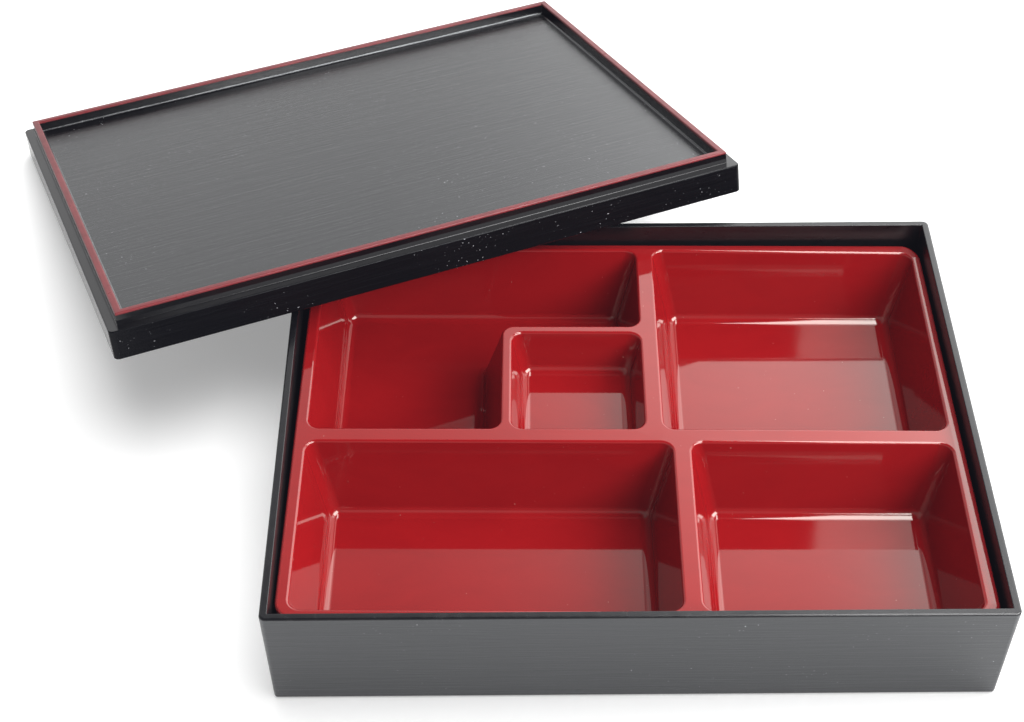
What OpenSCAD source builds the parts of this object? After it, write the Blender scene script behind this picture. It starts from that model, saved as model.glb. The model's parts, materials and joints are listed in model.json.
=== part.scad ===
// Lacquer-style bento box: a black outer box, a red tray with five
// compartments that stands in it, and a black lid with a red rim line.
// Units: mm. X is along the box's long side, Y runs to its back, Z is up.
// The origin is on the table, under the middle of the box.

/* [Outer box] */
// Length over the rim
box_w = 275; // [240:1:320]
// Depth over the rim
box_d = 215; // [190:1:260]
// Height of the rim above the table
box_h = 50.5; // [46:0.5:70]
// Thickness of the walls, which is also the width of the flat rim
box_wall = 3; // [2:0.5:4]
// Thickness of the floor
box_floor = 3; // [2:0.5:4]
// How far each wall leans in between the rim and the table
box_lean = 1.3; // [0.5:0.1:2]
// Radius of the upright corners
box_corner_r = 2.6; // [2:0.1:6]

/* [Tray] */
// Room between the tray and the wall of the box, at the rim
tray_gap = 2.2; // [2.2:0.1:4]
// How far the top of the tray lies below the rim of the box
tray_drop = 8; // [5:0.5:12]
// Thickness of the moulded sheet
tray_sheet = 2; // [1.5:0.1:2.5]
// How far the outer skirt leans in on its way down
tray_lean = 2.6; // [2.6:0.1:4]
// Radius of the upright outer corners
tray_corner_r = 8; // [5:0.5:12]
// Turn of the loose tray in the box, seen from above, in degrees
tray_turn = -0.75; // [-0.75:0.05:0.75]

/* [Compartments] */
// Width of the rail at the left end of the tray
left_rail = 5; // [3:0.1:6]
// Width of the rail at the right end of the tray
right_rail = 3.9; // [3:0.1:6]
// Width of the rails along the front and back of the tray
long_rail = 4.1; // [3:0.1:6]
// Width of the rails between compartments
mid_rail = 7.2; // [6:0.1:10]
// Width of the rail around the small compartment
small_rail = 4; // [3.6:0.1:6]
// Middle of the rail between the back and front compartments
row_split_y = -11.4; // [-20:0.1:0]
// Middle of the rail between the two back compartments
back_split_x = 11.4; // [0:0.1:30]
// Middle of the rail between the two front compartments
front_split_x = 21.8; // [0:0.1:40]
// Length of the small compartment
small_w = 53.8; // [40:0.1:70]
// Depth of the small compartment, front to back
small_d = 54.5; // [40:0.1:70]
// How deep the large compartments are
deep = 34; // [28:0.5:35]
// How deep the small compartment is
shallow = 18.5; // [12:0.5:28]
// Slope of the compartment walls, in degrees off upright
wall_slope = 14; // [8:1:16]
// Radius of the upright compartment corners at the top
opening_r = 5; // [5:0.5:10]
// Radius between walls and floor
floor_fillet = 4.5; // [3:0.5:6]
// Rounding of the edge between deck and walls
edge_round = 1.2; // [0.8:0.1:1.6]

/* [Lid] */
// Gap between the lid's skirt and the box when the lid is on
lid_gap = 0.9; // [0.5:0.1:1.5]
// Thickness of the skirt
lid_wall = 2.6; // [2:0.1:4]
// Height of the skirt, up to the ledge
skirt_h = 13.2; // [12:0.1:18]
// Height from the bottom of the skirt to the top of the rim line
lid_h = 18.7; // [17:0.1:24]
// Width of the ledge around the raised rim
ledge = 4.4; // [3:0.1:8]
// Width of the raised rim, which is also the width of the red line
rim_w = 3.1; // [2:0.1:5]
// Depth of the recess inside the raised rim
recess = 5.3; // [4:0.1:6]
// Depth of the hollow under the lid
hollow = 10; // [9.8:0.1:10.4]
// Thickness of the red line
line_t = 0.6; // [0.4:0.1:1]
// Radius of the lid's upright corners
lid_corner_r = 2.4; // [2:0.1:5]

/* [Where the lid lies] */
// Distance from the lid's middle to the box corner under it, along the lid
lid_over_x = 45.3; // [30:0.1:60]
// The same distance, across the lid
lid_over_y = 54.8; // [45:0.1:60]
// Turn of the lid, seen from above, in degrees
lid_heading = 21.5; // [15:0.5:25]

/* [Hidden] */
// Segments in a quarter circle of an upright corner
corner_steps = 6;
// Segments in a fillet or a rounded edge, seen in section
fillet_steps = 3;
// Radius of a corner that has lost all it can
smallest_r = 0.3;
// How far a cutting shape reaches past the surface it cuts
past = 1;
// Room left under the lid where it rests, on the table and on the box
table_gap = 0.3;
corner_gap = 0.4;

// Edges and small slopes that are not worth a setting
box_edge_round = 0.9;
box_base_bevel = 1.6;
box_inner_fillet = 1.4;
tray_w = box_w - 2 * (box_wall + tray_gap);
tray_d = box_d - 2 * (box_wall + tray_gap);
deck_z = box_h - tray_drop;
deck_edge_round = 1.6;
lid_w = box_w + 2 * (lid_gap + lid_wall);
lid_d = box_d + 2 * (lid_gap + lid_wall);
lid_edge_round = 0.8;
skirt_bevel = 0.4;
recess_lean = 0.6;

// The lid tilts until its far edge is on the table and its underside on
// the box corner: arm * sin(tilt) + hollow * cos(tilt) = rise
lid_arm = lid_d / 2 + lid_over_y;
lid_rise = box_h + corner_gap - table_gap;
lid_tilt = asin(lid_rise / norm([lid_arm, hollow])) - atan(hollow / lid_arm);
// The corner's place from the lid's middle, seen from above
lid_back = lid_over_y * cos(lid_tilt) - hollow * sin(lid_tilt);
lid_x = -box_w / 2 + lid_over_x * cos(lid_heading) - lid_back * sin(lid_heading);
lid_y = box_d / 2 + lid_over_x * sin(lid_heading) + lid_back * cos(lid_heading);

// Edges of the compartments, in the tray's own frame
left_x = -tray_w / 2 + left_rail;
right_x = tray_w / 2 - right_rail;
back_y = tray_d / 2 - long_rail;
front_y = -tray_d / 2 + long_rail;
back_row_y = row_split_y + mid_rail / 2;
front_row_y = row_split_y - mid_rail / 2;
back_left_x1 = back_split_x - mid_rail / 2;
back_right_x0 = back_split_x + mid_rail / 2;
front_left_x1 = front_split_x - mid_rail / 2;
front_right_x0 = front_split_x + mid_rail / 2;
small_x0 = back_left_x1 - small_w;
small_y1 = back_row_y + small_d;
notch_x = small_x0 - small_rail;
notch_y = small_y1 + small_rail;
// The upright corners of a compartment narrow towards the floor until the
// floor fillet just fits into them
low_corner_loss = opening_r - floor_fillet - smallest_r;

// ---- outlines ----

// A corner of an outline that has only upright and level sides.
// out: direction, in degrees, of the outward side of the edge that
// arrives. turn: +1 for an outer corner, -1 for an inner one.
function corner(x, y, r, out, turn = 1) = [x, y, r, out, turn];

// The points of one corner, with every side moved in by `inset` and the
// radius of an outer corner less by `loss`
function corner_points(c, inset, loss) =
    let (out2 = c[3] + 90 * c[4])
    let (both = [cos(c[3]) + cos(out2), sin(c[3]) + sin(out2)])
    let (r = max(smallest_r, c[2] - c[4] * loss))
    let (centre = [c[0], c[1]] - (inset + c[4] * r) * both)
    [for (i = [0 : corner_steps])
        let (a = c[3] + c[4] * 90 * i / corner_steps)
        centre + c[4] * r * [cos(a), sin(a)]];

function outline(corners, inset, loss) =
    [for (c = corners) each corner_points(c, inset, loss)];

// Corners of a rectangle, counter-clockwise from the lower right
function rect_corners(x0, y0, x1, y1, r) = [
    corner(x1, y0, r, 270),
    corner(x1, y1, r, 0),
    corner(x0, y1, r, 90),
    corner(x0, y0, r, 180)
];

function centred_corners(w, d, r) =
    rect_corners(-w / 2, -d / 2, w / 2, d / 2, r);

// ---- solids ----

// A closed solid through one outline moved in by a different amount at
// each height. section: list of [inset, z] or [inset, z, loss], from the
// bottom up; the corners lose as much radius as the sides move in, unless
// loss says otherwise. The flat ends fan out from the first corner, so it
// must see all the others.
module loft(corners, section) {
    rings = [for (s = section)
        let (loss = is_undef(s[2]) ? s[0] : s[2])
        [for (p = outline(corners, s[0], loss)) [p[0], p[1], s[1]]]];
    n = len(rings[0]);
    top = len(rings) - 1;
    sides = [for (k = [0 : top - 1]) for (i = [0 : n - 1])
        let (j = (i + 1) % n)
        [k * n + i, (k + 1) * n + i, (k + 1) * n + j, k * n + j]];
    bottom_cap = [[for (i = [0 : n - 1]) i]];
    top_cap = [[for (i = [0 : n - 1]) top * n + (n - i) % n]];
    polyhedron(
        points = [for (ring = rings) each ring],
        faces = concat(bottom_cap, sides, top_cap)
    );
}

// Section of an outside edge rounded over at the top
function rounded_top(inset, z, r) =
    [for (i = [0 : fillet_steps])
        let (a = 90 * i / fillet_steps)
        [inset + r * (1 - cos(a)), z - r * (1 - sin(a))]];

// Section of a compartment, from its floor up to past the deck:
// floor fillet, sloping wall, rounded edge
function pocket_section(depth) =
    let (s = sin(wall_slope))
    let (c = cos(wall_slope))
    let (t = tan(wall_slope))
    let (fillet_top = depth - floor_fillet * (1 - s))
    let (edge_in = edge_round * ((1 - s) * t - c))
    concat(
        [for (i = [0 : fillet_steps])
            let (a = 90 - (90 - wall_slope) * i / fillet_steps)
            let (reach = floor_fillet * (c - cos(a)))
            [fillet_top * t + reach,
             deck_z - depth + floor_fillet * (1 - sin(a)),
             low_corner_loss + reach]],
        [for (i = [0 : fillet_steps])
            let (a = wall_slope + (90 - wall_slope) * i / fillet_steps)
            [edge_in + edge_round * cos(a),
             deck_z - edge_round * (1 - sin(a))]],
        [[edge_in, deck_z + past]]
    );

// Section of the sheet that hangs below the deck around a compartment
function pocket_shell_section(depth) =
    let (t = tan(wall_slope))
    let (bevel = floor_fillet * 0.7)
    let (loss = low_corner_loss - tray_sheet)
    let (bottom = deck_z - depth - tray_sheet)
    [
        [depth * t - tray_sheet + bevel, bottom, loss + bevel],
        [(depth - bevel) * t - tray_sheet, bottom + bevel, loss],
        [-tray_sheet, deck_z - tray_sheet / 2]
    ];

// ---- the five compartments ----

module each_deep_pocket(cut) {
    l_corners = [
        corner(left_x, back_y, opening_r, 90),
        corner(left_x, back_row_y, opening_r, 180),
        corner(notch_x, back_row_y, opening_r, 270),
        corner(notch_x, notch_y, opening_r, 0, -1),
        corner(back_left_x1, notch_y, opening_r, 270),
        corner(back_left_x1, back_y, opening_r, 0)
    ];
    for (corners = [
        l_corners,
        rect_corners(back_right_x0, back_row_y, right_x, back_y, opening_r),
        rect_corners(left_x, front_y, front_left_x1, front_row_y, opening_r),
        rect_corners(front_right_x0, front_y, right_x, front_row_y, opening_r)
    ]) {
        loft(corners, cut ? pocket_section(deep) : pocket_shell_section(deep));
    }
}

module small_pocket(cut) {
    loft(
        rect_corners(small_x0, back_row_y, back_left_x1, small_y1, opening_r),
        cut ? pocket_section(shallow) : pocket_shell_section(shallow)
    );
}

// ---- parts ----

// Open box with leaning walls, a flat rim and a flat base
module outer_box() {
    corners = centred_corners(box_w, box_d, box_corner_r);
    color([0.08, 0.08, 0.09])
    difference() {
        loft(corners, concat(
            [
                [box_lean + box_base_bevel / 2, 0],
                [box_lean, box_base_bevel]
            ],
            rounded_top(0, box_h, box_edge_round)
        ));
        loft(corners, [
            [box_lean + box_wall + box_inner_fillet, box_floor],
            [box_lean + box_wall, box_floor + box_inner_fillet],
            [box_wall, box_h],
            [box_wall, box_h + past]
        ]);
    }
}

// One moulded sheet: deck, outer skirt and five hanging compartments
module compartment_tray() {
    corners = centred_corners(tray_w, tray_d, tray_corner_r);
    color([0.70, 0.10, 0.12])
    rotate([0, 0, tray_turn])
    difference() {
        union() {
            difference() {
                loft(corners, concat(
                    [[tray_lean, box_floor]],
                    rounded_top(0, deck_z, deck_edge_round)
                ));
                loft(corners, [
                    [tray_lean + tray_sheet, box_floor - past],
                    [tray_sheet, deck_z - tray_sheet]
                ]);
            }
            each_deep_pocket(cut = false);
            small_pocket(cut = false);
        }
        each_deep_pocket(cut = true);
        small_pocket(cut = true);
    }
}

// Puts a piece of the lid where it lies: far edge on the table, and the
// hollow over the back left corner of the box
module lid_place() {
    translate([lid_x, lid_y, table_gap + lid_d / 2 * sin(lid_tilt)])
    rotate([-lid_tilt, 0, lid_heading])
    children();
}

// Skirt, ledge, raised rim and recessed panel in one moulding
module lid_shell() {
    corners = centred_corners(lid_w, lid_d, lid_corner_r);
    color([0.08, 0.08, 0.09])
    lid_place()
    difference() {
        union() {
            loft(corners, concat(
                [[skirt_bevel, 0], [0, skirt_bevel]],
                rounded_top(0, skirt_h, lid_edge_round)
            ));
            loft(corners, [
                [ledge, skirt_h - past],
                [ledge, lid_h - line_t]
            ]);
        }
        loft(corners, [
            [ledge + rim_w + recess_lean, lid_h - recess],
            [ledge + rim_w, lid_h - line_t],
            [ledge + rim_w, lid_h + past]
        ]);
        loft(corners, [
            [lid_wall, -past],
            [lid_wall, hollow]
        ]);
    }
}

// The red line on top of the raised rim
module lid_rim_line() {
    corners = centred_corners(lid_w, lid_d, lid_corner_r);
    bevel = line_t / 2;
    color([0.70, 0.16, 0.17])
    lid_place()
    difference() {
        loft(corners, [
            [ledge, lid_h - line_t],
            [ledge, lid_h - bevel],
            [ledge + bevel, lid_h]
        ]);
        loft(corners, [
            [ledge + rim_w, lid_h - line_t - past],
            [ledge + rim_w, lid_h - bevel],
            [ledge + rim_w - bevel, lid_h],
            [ledge + rim_w - bevel, lid_h + past]
        ]);
    }
}

outer_box();
compartment_tray();
lid_shell();
lid_rim_line();
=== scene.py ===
"""Looks of the bento box: the outer box, the compartment tray, and the lid with its red line.

Sizes are in millimetres in the box's own frame: X along its long side, Y to its back, Z up, with
the origin on the table under the middle of the box. Meshes are made in metres.
"""

import json
import math

import bmesh
import bpy
from mathutils import Matrix, Vector

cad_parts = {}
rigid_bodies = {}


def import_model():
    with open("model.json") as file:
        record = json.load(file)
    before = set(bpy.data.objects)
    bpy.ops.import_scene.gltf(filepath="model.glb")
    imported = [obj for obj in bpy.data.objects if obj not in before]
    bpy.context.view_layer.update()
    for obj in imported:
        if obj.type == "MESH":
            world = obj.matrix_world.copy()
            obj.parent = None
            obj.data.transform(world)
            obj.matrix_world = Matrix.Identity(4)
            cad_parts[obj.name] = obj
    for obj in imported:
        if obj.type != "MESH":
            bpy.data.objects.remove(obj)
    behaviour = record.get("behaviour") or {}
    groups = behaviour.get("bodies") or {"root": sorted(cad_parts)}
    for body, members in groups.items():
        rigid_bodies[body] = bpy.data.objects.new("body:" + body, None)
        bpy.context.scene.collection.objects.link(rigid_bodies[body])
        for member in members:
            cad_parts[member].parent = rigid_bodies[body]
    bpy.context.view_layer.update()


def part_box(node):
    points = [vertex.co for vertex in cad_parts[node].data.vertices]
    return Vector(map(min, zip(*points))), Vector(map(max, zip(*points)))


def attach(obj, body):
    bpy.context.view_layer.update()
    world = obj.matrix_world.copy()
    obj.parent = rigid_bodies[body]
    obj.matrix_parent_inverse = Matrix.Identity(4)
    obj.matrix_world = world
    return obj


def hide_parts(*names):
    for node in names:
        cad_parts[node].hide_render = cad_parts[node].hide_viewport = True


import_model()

MM = 0.001

# ---------------------------------------------------------------- sizes

box_low, box_high = (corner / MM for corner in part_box("outer_box"))
box_w = box_high.x - box_low.x
box_d = box_high.y - box_low.y
box_h = box_high.z
box_wall = 3.0
box_floor = 3.0
box_lean = 1.3
box_corner_r = 2.6
box_base_round = 1.6
box_rim_round = 0.9
box_mouth_round = 0.35
box_inner_fillet = 1.4

tray_gap = 2.2
tray_w = box_w - 2 * (box_wall + tray_gap)
tray_d = box_d - 2 * (box_wall + tray_gap)
deck_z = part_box("compartment_tray")[1].z / MM
tray_sheet = 2.0
tray_thin_sheet = 1.2
tray_lean = 2.6
tray_corner_r = 8.0
# in degrees, as wall_slope is
tray_turn = -0.75
deck_edge_round = 1.2

# unevenness of the tray's deck, and between which places it grows
tray_sag = 1.5
sag_at_middle = 0.4
back_reach = 1.3
back_reach_from_x = -90
back_reach_to_x = 0
right_reach = 1.7
right_reach_from_y = 90
right_reach_to_y = -60

left_rail = 5.0
right_rail = 3.9
long_rail = 4.1
mid_rail = 7.2
small_rail = 4.0
row_split_y = -11.4
back_split_x = 11.4
front_split_x = 21.8
small_w = 53.8
small_d = 54.5
deep = 34.0
shallow = 18.5
wall_slope = 14
opening_r = 5.0
floor_fillet = 4.5
edge_round = 1.2
# bevel under a compartment, as a part of its floor fillet
hidden_bevel = 0.7

left_x = -tray_w / 2 + left_rail
right_x = tray_w / 2 - right_rail
back_y = tray_d / 2 - long_rail
front_y = -tray_d / 2 + long_rail
back_row_y = row_split_y + mid_rail / 2
front_row_y = row_split_y - mid_rail / 2
back_left_x1 = back_split_x - mid_rail / 2
back_right_x0 = back_split_x + mid_rail / 2
front_left_x1 = front_split_x - mid_rail / 2
front_right_x0 = front_split_x + mid_rail / 2
small_x0 = back_left_x1 - small_w
small_y1 = back_row_y + small_d
notch_x = small_x0 - small_rail
notch_y = small_y1 + small_rail

lid_over_box = 3.5
lid_w = box_w + 2 * lid_over_box
lid_d = box_d + 2 * lid_over_box
lid_wall = 2.6
skirt_h = 13.2
lid_h = 18.7
ledge = 4.4
rim_w = 3.1
recess = 5.3
recess_lean = 0.6
recess_fillet = 1.0
ledge_fillet = 0.3
hollow = 10.0
hollow_fillet = 1.0
line_t = 1.0
line_round = 0.6
lid_corner_r = 2.4
lid_edge_round = 0.55
skirt_bevel = 0.4

# where the lid lies: its far edge on the table, its hollow over the back left corner of the box
lid_over_x = 45.3
lid_over_y = 54.8
lid_heading = math.radians(21.5)
table_gap = 0.3
corner_gap = 0.4

# radius of a corner that has lost all it can
smallest_r = 0.3
# what a compartment's corners lose from the deck down to where the floor fillet begins
low_corner_loss = opening_r - floor_fillet - smallest_r

CORNER_STEPS = 12
FILLET_STEPS = 8
MIDDLE_STEPS = 5
SMALL_STEPS = 4
# points of a rounded edge that still have the grain of the side below it
WALL_POINTS = 3
SKIRT_POINTS = 4

# ---------------------------------------------------------------- outlines and sections


def outline(corners, inset, loss):
    """Points round an outline whose sides are moved in by inset, each corner an arc.

    A corner is (x, y, radius, heading of the outward side of the edge that arrives, turn), where
    turn is 1 for an outer corner and -1 for an inner one. Outer corners lose loss of radius.
    """
    points = []
    for x, y, radius, heading, turn in corners:
        start = math.radians(heading)
        end = start + turn * math.pi / 2
        r = max(smallest_r, radius - turn * loss)
        shift = inset + turn * r
        centre_x = x - shift * (math.cos(start) + math.cos(end))
        centre_y = y - shift * (math.sin(start) + math.sin(end))
        for i in range(CORNER_STEPS + 1):
            a = start + (end - start) * i / CORNER_STEPS
            points.append((centre_x + turn * r * math.cos(a), centre_y + turn * r * math.sin(a)))
    return points


def rect_corners(x0, y0, x1, y1, radius):
    return [
        (x1, y0, radius, 270, 1),
        (x1, y1, radius, 0, 1),
        (x0, y1, radius, 90, 1),
        (x0, y0, radius, 180, 1),
    ]


def centred_corners(width, depth, radius):
    return rect_corners(-width / 2, -depth / 2, width / 2, depth / 2, radius)


def arc(inset, z, r, start, end, steps=FILLET_STEPS):
    """Section points of an arc round (inset, z), between two angles in degrees.

    Angles run from the direction of growing inset towards the direction of growing z.
    """
    points = []
    for i in range(steps + 1):
        a = math.radians(start + (end - start) * i / steps)
        points.append((inset + r * math.cos(a), z + r * math.sin(a)))
    return points


def rounded_top(inset, z, r, steps=FILLET_STEPS):
    """From an outer side, at inset, over its rounded edge to a level top at z."""
    return arc(inset + r, z - r, r, 180, 90, steps)


def rounded_mouth(inset, z, r, steps=FILLET_STEPS):
    """From a level top at z over its rounded edge to an inner side, at inset."""
    return arc(inset - r, z - r, r, 90, 0, steps)


def floor_round(inset, z, r, steps=FILLET_STEPS):
    """From an inner side, at inset, by a fillet to a level floor at z."""
    return arc(inset + r, z + r, r, 180, 270, steps)


# ---------------------------------------------------------------- mesh tools


def add_ring(bm, corners, step):
    inset, z = step[0], step[1]
    loss = step[2] if len(step) > 2 else inset
    return [bm.verts.new((x * MM, y * MM, z * MM)) for x, y in outline(corners, inset, loss)]


def add_strip(bm, low, high, material):
    n = len(low)
    for i in range(n):
        j = (i + 1) % n
        face = bm.faces.new((low[i], low[j], high[j], high[i]))
        face.material_index = material


def add_rings(bm, corners, section, materials):
    """Rings along a section, joined by strips. materials: one index, or one for each strip."""
    rings = [add_ring(bm, corners, step) for step in section]
    for k in range(len(rings) - 1):
        material = materials if isinstance(materials, int) else materials[k]
        add_strip(bm, rings[k], rings[k + 1], material)
    return rings


def add_parts(bm, corners, parts):
    """Rings along a section made of parts, each a material and its points. A strip has the
    material of the point where it ends."""
    section = [point for _, points in parts for point in points]
    materials = [material for material, points in parts for _ in points]
    return add_rings(bm, corners, section, materials[1:])


def add_cap(bm, ring, flat, material):
    face = bm.faces.new(ring)
    face[flat] = 1
    face.material_index = material


def fill_between(bm, rings, flat, material):
    """Fills a level face that has one outer ring and several holes."""
    before = set(bm.faces)
    edges = []
    for ring in rings:
        for i in range(len(ring)):
            edges.append(bm.edges.get((ring[i], ring[(i + 1) % len(ring)])))
    bmesh.ops.triangle_fill(bm, use_beauty=True, use_dissolve=False, edges=edges)
    for face in set(bm.faces) - before:
        face[flat] = 1
        face.material_index = material


def part_off_sides(bm, from_material, to_material):
    """Gives the faces that look left or right a material of their own."""
    bm.normal_update()
    for face in bm.faces:
        if face.material_index == from_material and abs(face.normal.x) > abs(face.normal.y):
            face.material_index = to_material


def corner_normals(bm, flat, crease=math.radians(38)):
    """Shading normals: each face corner takes the area-weighted mean of the faces round its vertex
    that turn less than crease from its own. Flat faces count far more than the fillets they meet."""
    flat_weight = 1000
    cos_crease = math.cos(crease)
    bm.normal_update()
    normals = []
    for face in bm.faces:
        for vert in face.verts:
            total = Vector((0, 0, 0))
            for other in vert.link_faces:
                if other.normal.dot(face.normal) >= cos_crease:
                    total += other.normal * other.calc_area() * (flat_weight if other[flat] else 1)
            normals.append(total.normalized())
    return normals


def new_piece(name, body, node, materials, build, place=None):
    """Builds a closed mesh, puts it in place and lets it stand for its CAD node."""
    bm = bmesh.new()
    flat = bm.faces.layers.int.new("flat")
    build(bm, flat)
    bmesh.ops.recalc_face_normals(bm, faces=bm.faces)
    normals = corner_normals(bm, flat)
    mesh = bpy.data.meshes.new(name)
    bm.to_mesh(mesh)
    bm.free()
    mesh.attributes.remove(mesh.attributes["flat"])
    mesh.shade_smooth()
    mesh.normals_split_custom_set(normals)
    for material in materials:
        mesh.materials.append(material)
    piece = bpy.data.objects.new(name, mesh)
    if place is not None:
        piece.matrix_world = place
    bpy.context.scene.collection.objects.link(piece)
    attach(piece, body)
    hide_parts(node)
    return piece


# ---------------------------------------------------------------- material tools


class Nodes:
    """Short ways to add nodes to a tree and wire them."""

    def __init__(self, tree):
        self.nodes = tree.nodes
        self.links = tree.links

    def add(self, kind, inputs=(), **settings):
        """A new node. inputs maps socket names or numbers to values or to other nodes' sockets."""
        node = self.nodes.new(kind)
        for key, value in settings.items():
            setattr(node, key, value)
        for key, value in dict(inputs).items():
            if isinstance(value, bpy.types.NodeSocket):
                self.links.new(value, node.inputs[key])
            else:
                node.inputs[key].default_value = value
        return node

    def math(self, operation, a, b=0.0):
        return self.add("ShaderNodeMath", {0: a, 1: b}, operation=operation).outputs[0]

    def map_range(self, value, low, high, to_low, to_high, kind="LINEAR"):
        inputs = {0: value, 1: low, 2: high, 3: to_low, 4: to_high}
        return self.add("ShaderNodeMapRange", inputs, interpolation_type=kind).outputs[0]


class Shader(Nodes):
    """A Principled material in the making."""

    def __init__(self, name, **values):
        self.material = bpy.data.materials.new(name)
        self.material.use_nodes = True
        super().__init__(self.material.node_tree)
        self.bsdf = self.nodes["Principled BSDF"]
        for key, value in values.items():
            self.bsdf.inputs[key.replace("_", " ")].default_value = value
        self.place = self.add("ShaderNodeTexCoord").outputs["Object"]

    def stretched(self, scale, shift=(0, 0, 0), place=None):
        """Coordinates in metres times scale."""
        inputs = {"Vector": place or self.place, "Scale": scale, "Location": shift}
        return self.add("ShaderNodeMapping", inputs).outputs[0]

    def noise(self, vector, scale=1.0, detail=2.0, roughness=0.5, distortion=0.0):
        inputs = {
            "Vector": vector,
            "Scale": scale,
            "Detail": detail,
            "Roughness": roughness,
            "Distortion": distortion,
        }
        return self.add("ShaderNodeTexNoise", inputs).outputs[0]

    def mix(self, factor, a, b):
        node = self.add("ShaderNodeMix", {"Factor": factor}, data_type="RGBA")
        for socket, value in ((node.inputs[6], a), (node.inputs[7], b)):
            if isinstance(value, bpy.types.NodeSocket):
                self.links.new(value, socket)
            else:
                socket.default_value = value
        return node.outputs[2]

    def bump(self, height, distance, strength=1.0, normal=None):
        inputs = {"Height": height, "Distance": distance * MM, "Strength": strength}
        if normal is not None:
            inputs["Normal"] = normal
        return self.add("ShaderNodeBump", inputs).outputs[0]

    def wire(self, name, socket):
        self.links.new(socket, self.bsdf.inputs[name])


def times(colour, factor):
    """A lighter or darker colour, with its alpha left at 1."""
    return tuple(c * factor for c in colour[:3]) + (1,)


def drawn_out(along, lengthwise, across):
    """Scale of a pattern that is long along one axis: how often it repeats in a metre."""
    return {"X": (lengthwise, across, across), "Y": (across, lengthwise, across)}[along]


def add_grain(shader, along, depth):
    """Pressed wood grain: long uneven strokes along one axis, in two widths, and fine pits."""
    broad_share = 0.5
    pits_share = 0.35
    strokes = shader.stretched(drawn_out(along, 26, 850))
    fine = shader.noise(strokes, detail=3, roughness=0.6, distortion=0.9)
    broad = shader.noise(shader.stretched(drawn_out(along, 18, 330)), detail=2, distortion=0.8)
    pits = shader.noise(shader.place, scale=2600, detail=1)
    height = shader.math("ADD", fine, shader.math("MULTIPLY", broad, broad_share))
    height = shader.math("ADD", height, shader.math("MULTIPLY", pits, pits_share))
    shader.wire("Normal", shader.bump(height, depth))
    return fine


def black_grained(name, along, depth, colour, roughness, ior=1.55, dust_level=0.84):
    """Satin black plastic with wood grain, and dust where the noise passes dust_level."""
    dust_edge = 0.04
    dust_colour = (0.3, 0.3, 0.32, 1)
    shader = Shader(name, IOR=ior, Specular_Tint=(0.94, 0.97, 1, 1))
    fine = add_grain(shader, along, depth)
    cloud = shader.noise(shader.place, scale=22, detail=3)
    rough = shader.map_range(fine, 0.3, 0.7, roughness - 0.04, roughness + 0.05)
    rough = shader.math("ADD", rough, shader.map_range(cloud, 0.3, 0.7, -0.02, 0.03))
    shader.wire("Roughness", rough)
    base = shader.mix(shader.map_range(fine, 0.45, 0.75, 0, 1), colour, times(colour, 1.7))
    dust = shader.noise(shader.place, scale=1300, detail=0)
    gathered = shader.map_range(shader.noise(shader.place, scale=18, detail=1), 0.45, 0.6, 0, 1)
    specks = shader.map_range(dust, dust_level, dust_level + dust_edge, 0, 1)
    speck = shader.math("MULTIPLY", specks, gathered)
    shader.wire("Base Color", shader.mix(speck, base, dust_colour))
    return shader.material


def black_smooth(name, colour, roughness, ior=1.55):
    """Moulded black plastic without grain, with a faint ripple and scuffs."""
    shader = Shader(name, IOR=ior)
    ripple = shader.noise(shader.stretched((40, 40, 120)), detail=2)
    scuffs = shader.noise(shader.stretched((90, 90, 300)), detail=5, roughness=0.7, distortion=1.5)
    shader.wire("Roughness", shader.map_range(scuffs, 0.35, 0.7, roughness - 0.03, roughness + 0.08))
    shader.wire("Base Color", shader.mix(scuffs, colour, times(colour, 1.5)))
    shader.wire("Normal", shader.bump(ripple, 0.05, 0.5))
    return shader.material


def red_gloss():
    """High gloss red: a slow ripple from moulding, soft smears, and a few specks of dust."""
    shader = Shader("red_gloss_abs", IOR=1.55, Specular_Tint=(1, 0.99, 0.93, 1))
    ripple = shader.noise(shader.stretched((14, 60, 220)), detail=1)
    smears = shader.noise(shader.stretched((30, 60, 60)), detail=4, roughness=0.6, distortion=1.0)
    dust = shader.noise(shader.place, scale=1500, detail=0)
    speck = shader.map_range(dust, 0.885, 0.93, 0, 1)
    red = (0.183, 0.0040, 0.0050, 1)
    deep_red = (0.168, 0.0034, 0.0045, 1)
    pale = (0.45, 0.25, 0.22, 1)
    base = shader.mix(shader.map_range(smears, 0.35, 0.7, 0, 1), red, deep_red)
    shader.wire("Base Color", shader.mix(speck, base, pale))
    shader.wire("Roughness", shader.map_range(smears, 0.35, 0.75, 0.035, 0.06))
    shader.wire("Normal", shader.bump(ripple, 0.02, 0.6))
    return shader.material


def red_paint():
    """Satin red line, hand-rubbed a little, in patches."""
    shader = Shader("red_line_paint", IOR=1.36)
    rub = shader.noise(shader.stretched((120, 120, 400)), detail=4, roughness=0.65)
    red = (0.125, 0.009, 0.012, 1)
    worn = (0.085, 0.011, 0.013, 1)
    shader.wire("Base Color", shader.mix(shader.map_range(rub, 0.4, 0.75, 0, 1), red, worn))
    shader.wire("Roughness", shader.map_range(rub, 0.3, 0.7, 0.26, 0.4))
    shader.wire("Normal", shader.bump(rub, 0.03, 0.6))
    return shader.material


# ---------------------------------------------------------------- outer box


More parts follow.
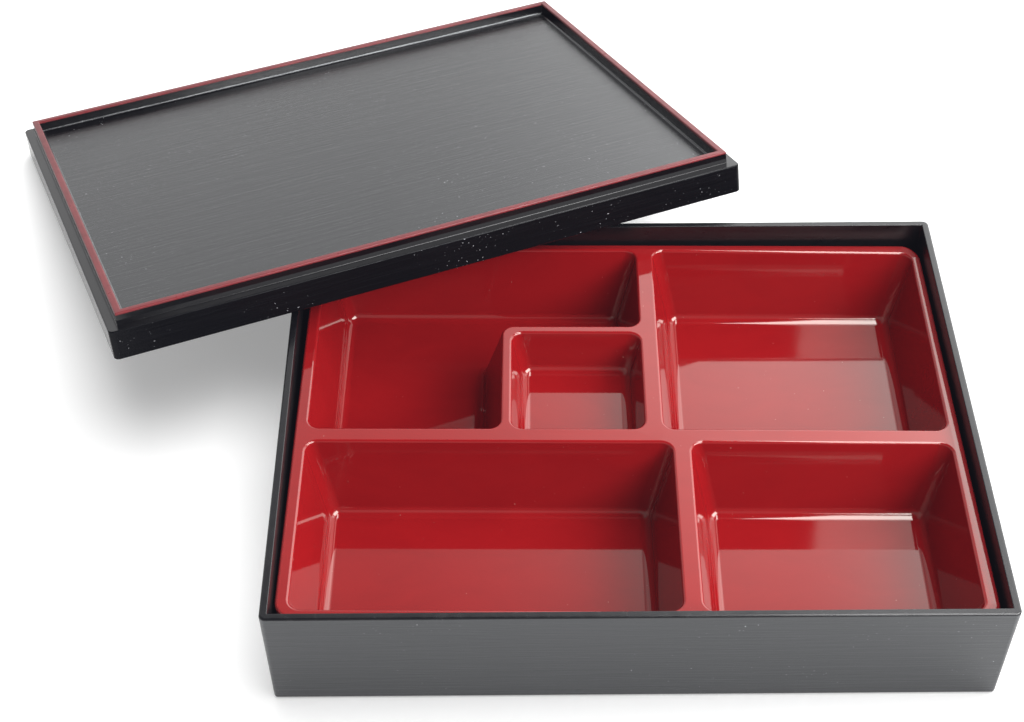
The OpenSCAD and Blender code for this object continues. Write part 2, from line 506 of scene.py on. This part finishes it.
def build_box(bm, flat):
    """Outside from the base up, over the flat rim and down the inside to the floor."""
    wall, rim, inside, base, side_wall = range(5)
    corners = centred_corners(box_w, box_d, box_corner_r)
    low_corner = arc(box_lean + box_base_round, box_base_round, box_base_round, 270, 180)
    top = rounded_top(0, box_h, box_rim_round)
    mouth = rounded_mouth(box_wall, box_h, box_mouth_round, SMALL_STEPS)
    inner = floor_round(box_lean + box_wall, box_floor, box_inner_fillet, MIDDLE_STEPS)
    parts = [
        (base, low_corner),
        (wall, top[:WALL_POINTS]),
        (rim, top[WALL_POINTS:] + mouth),
        (inside, inner),
    ]
    rings = add_parts(bm, corners, parts)
    add_cap(bm, rings[0], flat, base)
    add_cap(bm, rings[-1], flat, inside)
    part_off_sides(bm, wall, side_wall)


# ---------------------------------------------------------------- tray


def deep_pocket_corners():
    l_shape = [
        (left_x, back_y, opening_r, 90, 1),
        (left_x, back_row_y, opening_r, 180, 1),
        (notch_x, back_row_y, opening_r, 270, 1),
        (notch_x, notch_y, opening_r, 0, -1),
        (back_left_x1, notch_y, opening_r, 270, 1),
        (back_left_x1, back_y, opening_r, 0, 1),
    ]
    return [
        l_shape,
        rect_corners(back_right_x0, back_row_y, right_x, back_y, opening_r),
        rect_corners(left_x, front_y, front_left_x1, front_row_y, opening_r),
        rect_corners(front_right_x0, front_y, right_x, front_row_y, opening_r),
    ]


def pocket_section(depth):
    """From the deck down: rounded edge, sloping wall, floor fillet."""
    slope = math.radians(wall_slope)
    s, c, t = math.sin(slope), math.cos(slope), math.tan(slope)
    edge_in = edge_round * ((1 - s) * t - c)
    edge = arc(edge_in, deck_z - edge_round, edge_round, 90, wall_slope)
    fillet_z = deck_z - depth + floor_fillet
    fillet_in = (depth - floor_fillet * (1 - s)) * t + floor_fillet * c
    fillet = arc(fillet_in, fillet_z, floor_fillet, 180 + wall_slope, 270)
    # corners have lost low_corner_loss at the fillet's first point, and lose more along it
    loss_shift = low_corner_loss - fillet[0][0]
    return edge + [(inset, z, inset + loss_shift) for inset, z in fillet]


def pocket_under_section(depth):
    """Hidden side of a compartment, from the underside of the deck down."""
    t = math.tan(math.radians(wall_slope))
    bevel = floor_fillet * hidden_bevel
    loss = low_corner_loss - tray_sheet
    bottom = deck_z - depth - tray_sheet
    return [
        (-tray_thin_sheet, deck_z - tray_thin_sheet, -tray_thin_sheet),
        ((depth - bevel) * t - tray_sheet, bottom + bevel, loss),
        (depth * t - tray_sheet + bevel, bottom, loss + bevel),
    ]


def ease(value, low, high):
    """0 at low and 1 at high, held there beyond them, and smooth between."""
    t = min(1, max(0, (value - low) / (high - low)))
    return t * t * (3 - 2 * t)


def settle(bm):
    """Small unevenness of the moulding, growing from its foot to its deck: the back right corner
    hangs lower, and the outer edge reaches nearer the box along the back and the right."""
    for vert in bm.verts:
        x, y, z = vert.co / MM
        height = (z - box_floor) / (deck_z - box_floor)
        sag_back = sag_at_middle + (1 - sag_at_middle) * y / back_y
        low_corner = min(1, max(0, x / right_x)) * min(1, max(0, sag_back))
        along_back = ease(x, back_reach_from_x, back_reach_to_x)
        back_edge = ease(y, back_y, tray_d / 2) * along_back
        along_right = ease(y, right_reach_from_y, right_reach_to_y)
        right_edge = ease(x, right_x, tray_w / 2) * along_right
        vert.co.z -= tray_sag * low_corner * height * MM
        vert.co.y += back_reach * back_edge * height * MM
        vert.co.x += right_reach * right_edge * height * MM


def build_tray(bm, flat):
    corners = centred_corners(tray_w, tray_d, tray_corner_r)
    skirt = [(tray_lean, box_floor)] + rounded_top(0, deck_z, deck_edge_round)
    outer = add_rings(bm, corners, skirt, 0)
    hidden = [(tray_lean + tray_sheet, box_floor), (tray_thin_sheet, deck_z - tray_thin_sheet)]
    inner = add_rings(bm, corners, hidden, 0)
    add_strip(bm, outer[0], inner[0], 0)
    deck_rings, under_rings = [outer[-1]], [inner[-1]]
    small = rect_corners(small_x0, back_row_y, back_left_x1, small_y1, opening_r)
    pockets = [(pocket, deep) for pocket in deep_pocket_corners()] + [(small, shallow)]
    for pocket, depth in pockets:
        top_rings = add_rings(bm, pocket, pocket_section(depth), 0)
        low_rings = add_rings(bm, pocket, pocket_under_section(depth), 0)
        add_cap(bm, top_rings[-1], flat, 0)
        add_cap(bm, low_rings[-1], flat, 0)
        deck_rings.append(top_rings[0])
        under_rings.append(low_rings[0])
    fill_between(bm, deck_rings, flat, 0)
    fill_between(bm, under_rings, flat, 0)
    settle(bm)


# ---------------------------------------------------------------- lid


def lid_place():
    """Where the lid's own frame lies: its middle at the bottom of the skirt is the origin."""
    arm = lid_d / 2 + lid_over_y
    rise = box_h + corner_gap - table_gap
    tilt = math.asin(rise / math.hypot(arm, hollow)) - math.atan(hollow / arm)
    back = lid_over_y * math.cos(tilt) - hollow * math.sin(tilt)
    x = -box_w / 2 + lid_over_x * math.cos(lid_heading) - back * math.sin(lid_heading)
    y = box_d / 2 + lid_over_x * math.sin(lid_heading) + back * math.cos(lid_heading)
    z = table_gap + lid_d / 2 * math.sin(tilt)
    turn = Matrix.Rotation(lid_heading, 4, "Z") @ Matrix.Rotation(-tilt, 4, "X")
    return Matrix.Translation(Vector((x, y, z)) * MM) @ turn


def build_lid(bm, flat):
    """Inside of the lid, skirt, ledge, raised rim and recessed panel, as one closed surface."""
    skirt, ledge_top, panel, inside, side_skirt = range(5)
    corners = centred_corners(lid_w, lid_d, lid_corner_r)
    rim_top = lid_h - line_t
    inner = ledge + rim_w
    under = arc(lid_wall + hollow_fillet, hollow - hollow_fillet, hollow_fillet, 90, 180, MIDDLE_STEPS)
    foot = [(lid_wall, 0), (skirt_bevel, 0)]
    edge = rounded_top(0, skirt_h, lid_edge_round, MIDDLE_STEPS)
    root = arc(ledge - ledge_fillet, skirt_h + ledge_fillet, ledge_fillet, 270, 360, MIDDLE_STEPS)
    rim = [(ledge, rim_top), (inner, rim_top)]
    well = floor_round(inner + recess_lean, lid_h - recess, recess_fillet, MIDDLE_STEPS)
    parts = [
        (inside, under + foot),
        (skirt, [(0, skirt_bevel)] + edge[:SKIRT_POINTS]),
        (ledge_top, edge[SKIRT_POINTS:] + root + rim + well[:1]),
        (panel, well[1:]),
    ]
    rings = add_parts(bm, corners, parts)
    add_cap(bm, rings[0], flat, inside)
    add_cap(bm, rings[-1], flat, panel)
    part_off_sides(bm, skirt, side_skirt)


def build_line(bm, flat):
    """The red line: a thin band on top of the raised rim, rounded on both sides."""
    corners = centred_corners(lid_w, lid_d, lid_corner_r)
    low = lid_h - line_t
    inner = ledge + rim_w
    over = rounded_top(ledge, lid_h, line_round, SMALL_STEPS)
    over += rounded_mouth(inner, lid_h, line_round, SMALL_STEPS)
    rings = add_rings(bm, corners, [(ledge, low)] + over + [(inner, low)], 0)
    add_strip(bm, rings[-1], rings[0], 0)


# ---------------------------------------------------------------- the four pieces

black = (0.0016, 0.0016, 0.0020, 1)
wall_black = (0.0020, 0.0020, 0.0026, 1)
grain_depth = 0.12
panel_grain_depth = 0.09
wall_roughness = 0.32
wall_ior = 1.68
rim_ior = 1.47
ledge_ior = 1.4
skirt_roughness = 0.12
skirt_ior = 1.18
end_skirt_ior = 1.12
skirt_dust_level = 0.8


def wall_material(name, along):
    return black_grained(name, along, grain_depth, wall_black, wall_roughness, wall_ior)


def skirt_material(name, along, ior):
    return black_grained(name, along, grain_depth, black, skirt_roughness, ior, skirt_dust_level)


new_piece(
    "box_body",
    "box",
    "outer_box",
    [
        wall_material("black_grained_abs", "X"),
        black_smooth("black_rim_abs", wall_black, roughness=0.22, ior=rim_ior),
        black_smooth("black_inside_abs", black, roughness=0.3),
        black_smooth("black_base_abs", black, roughness=0.4),
        wall_material("black_end_wall_abs", "Y"),
    ],
    build_box,
)
new_piece(
    "tray_body",
    "tray",
    "compartment_tray",
    [red_gloss()],
    build_tray,
    Matrix.Rotation(math.radians(tray_turn), 4, "Z"),
)
new_piece(
    "lid_body",
    "lid",
    "lid_shell",
    [
        skirt_material("black_skirt_abs", "X", skirt_ior),
        black_smooth("black_ledge_abs", black, roughness=0.1, ior=ledge_ior),
        black_grained("black_panel_abs", "X", panel_grain_depth, black, roughness=0.19),
        black_smooth("black_lid_inside_abs", black, roughness=0.35),
        skirt_material("black_end_skirt_abs", "Y", end_skirt_ior),
    ],
    build_lid,
    lid_place(),
)
new_piece(
    "lid_red_line",
    "lid",
    "lid_rim_line",
    [red_paint()],
    build_line,
    lid_place(),
)

# ---------------------------------------------------------------- table, light and camera

# the sky's brightness from place to place, and the parts of it left at the front and overhead
left_light = 0.5
back_left_light = 1.3
back_right_light = 4.0
side_light = 2.0
front_part = 0.1
zenith_part = 0.03

# painted light: the table's emission, standing in for light on it, from its left to its right and more
# at its front, at places in metres
table_size = 6.0
table_painted_light_left = 0.27
table_painted_light_left_x = -0.15
table_painted_light_right = 0.42
table_painted_light_right_x = 0.2
table_painted_light_front = 0.45
table_painted_light_from_y = -0.13
table_painted_light_to_y = -0.25

# how far the blacks are lifted
haze = 0.005
blue_haze = 0.007


def add_table():
    """A plain pale floor, far wider than the object, with painted light: it glows, brighter to its
    right and at its front.
    """
    shader = Shader(
        "pale_table",
        Base_Color=(0.8, 0.8, 0.8, 1),
        Roughness=0.6,
        Emission_Color=(1, 1, 1, 1),
    )
    across, back = shader.add("ShaderNodeSeparateXYZ", {0: shader.place}).outputs[:2]
    # painted light: emission rising from the table's left to its right, in place of light falling on
    # it
    painted_light = shader.map_range(
        across,
        table_painted_light_left_x,
        table_painted_light_right_x,
        table_painted_light_left,
        table_painted_light_right,
        "SMOOTHSTEP",
    )
    # painted light: more emission towards the table's front
    painted_front_light = shader.map_range(
        back,
        table_painted_light_from_y,
        table_painted_light_to_y,
        0,
        table_painted_light_front,
        "SMOOTHSTEP",
    )
    shader.wire("Emission Strength", shader.math("ADD", painted_light, painted_front_light))
    mesh = bpy.data.meshes.new("table")
    half = table_size / 2
    corners = [(-half, -half, 0), (half, -half, 0), (half, half, 0), (-half, half, 0)]
    mesh.from_pydata(corners, [], [(0, 1, 2, 3)])
    mesh.materials.append(shader.material)
    table = bpy.data.objects.new("table", mesh)
    bpy.context.scene.collection.objects.link(table)
    return table


def add_sky():
    """Soft studio surround by azimuth and height.

    Azimuth is in degrees, 0 at the back and growing to the right. Height is 0 at the horizon and
    1 straight up.
    """
    world = bpy.data.worlds.new("studio")
    bpy.context.scene.world = world
    world.use_nodes = True
    sky = Nodes(world.node_tree)
    direction = sky.add("ShaderNodeTexCoord").outputs["Generated"]
    x, y, height = sky.add("ShaderNodeSeparateXYZ", {0: direction}).outputs[:3]
    azimuth = sky.math("ARCTAN2", x, y)

    def band(low, high, to_low, to_high):
        low, high = math.radians(low), math.radians(high)
        return sky.map_range(azimuth, low, high, to_low, to_high, "SMOOTHSTEP")

    def layer(low, high, to_low, to_high):
        return sky.map_range(height, low, high, to_low, to_high, "SMOOTHSTEP")

    back_left = band(-70, -12, left_light, back_left_light)
    back_right = band(-8, 14, 0, back_right_light - back_left_light)
    back = sky.math("ADD", back_left, back_right)
    back = sky.math("MULTIPLY", back, band(60, 100, 1, front_part))
    back = sky.math("MULTIPLY", back, layer(0.64, 0.9, 1, zenith_part))
    side = sky.math("MULTIPLY", band(13, 24, 0, side_light), band(30, 42, 1, 0))
    side = sky.math("MULTIPLY", side, layer(0.62, 0.7, 0, 1))
    side = sky.math("MULTIPLY", side, layer(0.76, 0.84, 1, 0))
    background = sky.nodes["Background"]
    background.inputs["Color"].default_value = (1, 1, 1, 1)
    sky.links.new(sky.math("ADD", back, side), background.inputs["Strength"])


def around(azimuth, elevation, distance):
    """A place seen from the box: azimuth from the back round to the right, in degrees."""
    a, e = math.radians(azimuth), math.radians(elevation)
    return Vector((math.cos(e) * math.sin(a), math.cos(e) * math.cos(a), math.sin(e))) * distance


def add_softbox(name, location, target, radiance, width, height, turn=0):
    """A rectangular area light of the given radiance, facing the target, turned in its own plane."""
    light = bpy.data.lights.new(name, "AREA")
    light.shape = "RECTANGLE"
    light.size = width
    light.size_y = height
    light.energy = radiance * width * height * math.pi
    lamp = bpy.data.objects.new(name, light)
    lamp.location = location
    towards = Vector(target) - Vector(location)
    own_turn = Matrix.Rotation(math.radians(turn), 3, "Z")
    lamp.rotation_euler = (towards.to_track_quat("-Z", "Y").to_matrix() @ own_turn).to_euler()
    bpy.context.scene.collection.objects.link(lamp)
    return lamp


def light_apart(table, object_lights, table_light):
    """The key lights leave the table out, and the table has a light of its own, so that the
    object's shadow on it stays a soft one below the object."""
    only_table = bpy.data.collections.new("table_only")
    only_table.objects.link(table)
    table_light.light_linking.receiver_collection = only_table
    objects = bpy.data.collections.new("objects_only")
    for piece in bpy.context.scene.objects:
        if piece.type == "MESH" and piece != table:
            objects.objects.link(piece)
    for lamp in object_lights:
        lamp.light_linking.receiver_collection = objects


def add_camera():
    """The photograph's viewpoint: 45 degrees down from the front, a little left of the middle."""
    camera_data = bpy.data.cameras.new("camera")
    camera_data.sensor_width = 36
    camera_data.lens = 66.78
    camera = bpy.data.objects.new("camera", camera_data)
    pitch = math.radians(45.276)
    yaw = math.radians(0.135)
    roll = math.radians(-0.305)
    level = Vector((math.sin(yaw), math.cos(yaw), 0))
    forward = level * math.cos(pitch) - Vector((0, 0, math.sin(pitch)))
    right = Vector((math.cos(yaw), -math.sin(yaw), 0))
    up = right.cross(forward)
    tilted_right = right * math.cos(roll) + up * math.sin(roll)
    tilted_up = up * math.cos(roll) - right * math.sin(roll)
    axes = Matrix((tilted_right, tilted_up, -forward)).transposed()
    place = Vector((-46.68, -521.5, 599.78)) * MM
    camera.matrix_world = Matrix.Translation(place) @ axes.to_4x4()
    bpy.context.scene.collection.objects.link(camera)
    bpy.context.scene.camera = camera


table = add_table()
add_sky()
object_lights = [
    add_softbox(
        "key",
        location=around(azimuth=123, elevation=42, distance=1.15),
        target=(0, 0, 0),
        radiance=15,
        width=1.1,
        height=0.6,
    ),
    add_softbox(
        "overhead",
        location=(0.37, 0.05, 1.3),
        target=(0.37, 0.05, 0),
        radiance=14,
        width=0.26,
        height=1.2,
        turn=6,
    ),
]
table_light = add_softbox(
    "table_light",
    location=(0.2, 0.02, 1.6),
    target=(-0.05, 0.05, 0),
    radiance=4.9,
    width=1.5,
    height=1.4,
)
light_apart(table, object_lights, table_light)
add_camera()
look = bpy.context.scene.view_settings
look.view_transform = "Standard"
look.use_curve_mapping = True
look.curve_mapping.black_level = (-haze, -haze, -blue_haze)
look.curve_mapping.update()
